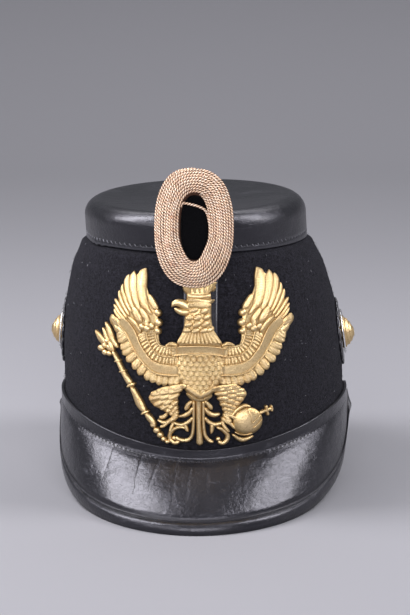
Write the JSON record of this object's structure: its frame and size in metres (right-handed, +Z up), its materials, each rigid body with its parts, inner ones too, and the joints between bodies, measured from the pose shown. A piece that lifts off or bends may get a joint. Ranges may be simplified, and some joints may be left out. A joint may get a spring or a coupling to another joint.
{
  "type": "shako hat",
  "caption": "Felt shako with a leather crown and two leather peaks, a pierced brass bird plate, an oval wound-cord badge and side cockades.",
  "frame": {"origin": "on the surface it rests on, under the middle of its length and width", "axes": "+Z up, -Y towards the front peak, +X towards the viewer's right when looking at the front"},
  "size_m": [0.1896, 0.2668, 0.197],
  "materials": {
    "felt": "matt wool felt",
    "leather": "polished black leather",
    "brass": "stamped, satin, worn",
    "cord": "twisted metal-wound cord",
    "velvet": "black velvet",
    "white_metal": "silvered"
  },
  "bodies": {
    "root": {"shell": "felt", "crown_cap": "leather", "front_peak": "leather", "rear_peak": "leather", "badge_sleeve": "leather", "badge_backing": "leather", "badge_cord": "cord", "badge_velvet": "velvet", "eagle_plate": "brass", "cockade_left": "leather", "cockade_ring_left": "white_metal", "rosette_left": "brass", "cockade_right": "leather", "cockade_ring_right": "white_metal", "rosette_right": "brass"}
  },
  "joints": []
}
